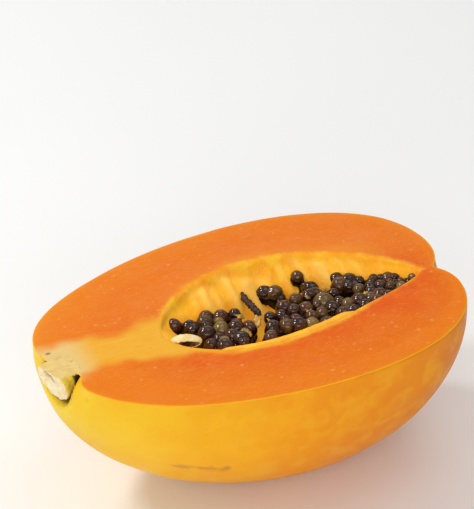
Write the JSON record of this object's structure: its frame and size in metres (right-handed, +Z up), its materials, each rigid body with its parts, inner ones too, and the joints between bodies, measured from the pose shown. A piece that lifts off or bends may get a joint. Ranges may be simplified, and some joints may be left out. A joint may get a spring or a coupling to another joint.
{
  "type": "papaya half",
  "caption": "Half of a ripe papaya cut lengthwise, lying on its skin, with a seed-filled hollow in the cut face and a short stem stub.",
  "frame": {"origin": "bottom centre of the whole half's box, on the surface that it lies on", "axes": "+X from the stem end to the blossom end, +Y across the cut face, +Z up out of the cut face"},
  "size_m": [0.2012, 0.1384, 0.084],
  "materials": {
    "flesh": "moist orange flesh inside a waxy yellow skin",
    "stem": "dull green-yellow stalk with a cream cut",
    "seed_coat": "pale, soft and moist",
    "seed": "wet, glossy, near black with a brown-green coat",
    "strand": "dried dark brown tissue"
  },
  "bodies": {
    "root": {"fruit_half": "flesh", "stem_stub": "stem", "empty_seed_coat": "seed_coat", "seeds_stem_end": "seed", "seeds_far_wall": "seed", "seeds_blossom_end": "seed", "dried_strand": "strand"}
  },
  "joints": []
}
